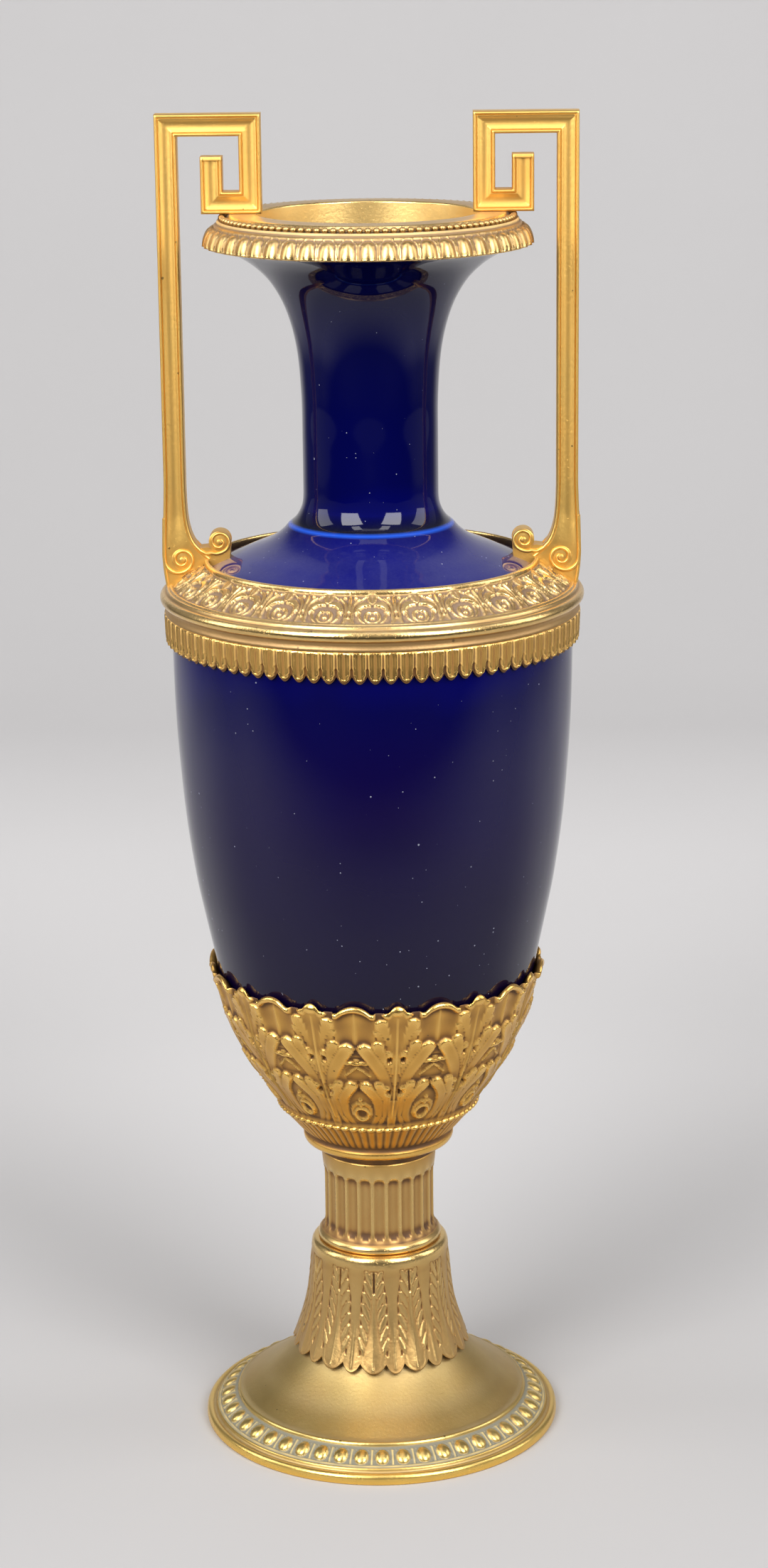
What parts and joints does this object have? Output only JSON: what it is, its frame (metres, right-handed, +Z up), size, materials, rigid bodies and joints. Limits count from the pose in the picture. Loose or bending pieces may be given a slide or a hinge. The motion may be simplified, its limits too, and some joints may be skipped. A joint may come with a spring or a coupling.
{
  "type": "mounted amphora vase",
  "caption": "Tall blue-glazed porcelain amphora in gilt-brass mounts: trumpet foot, fluted stem, acanthus cup, shoulder ring, Greek-key handles and beaded rim.",
  "frame": {"origin": "centre of the foot's underside, on the surface that it stands on", "axes": "+Z up along the vase's axis, handles along +X and -X, front towards -Y"},
  "size_m": [0.1856, 0.1866, 0.6],
  "materials": {
    "gilt_foot": "worn satin gilding with grey-green patina in the grooves",
    "gilt_carved": "fire-gilt casting, dark in the hollows and bright on the edges",
    "gilt_ring": "gilding under a pale film of dust",
    "gilt_handle": "smooth polished gilding",
    "cobalt_glaze": "deep cobalt gloss glaze"
  },
  "bodies": {
    "root": {"foot": "gilt_foot", "leaf_cuff": "gilt_carved", "fluted_stem": "gilt_carved", "acanthus_cup": "gilt_carved", "vessel": "cobalt_glaze", "shoulder_ring": "gilt_ring", "tongue_fringe": "gilt_carved", "rim_mount": "gilt_ring", "handle_left": "gilt_handle", "handle_right": "gilt_handle"}
  },
  "joints": []
}
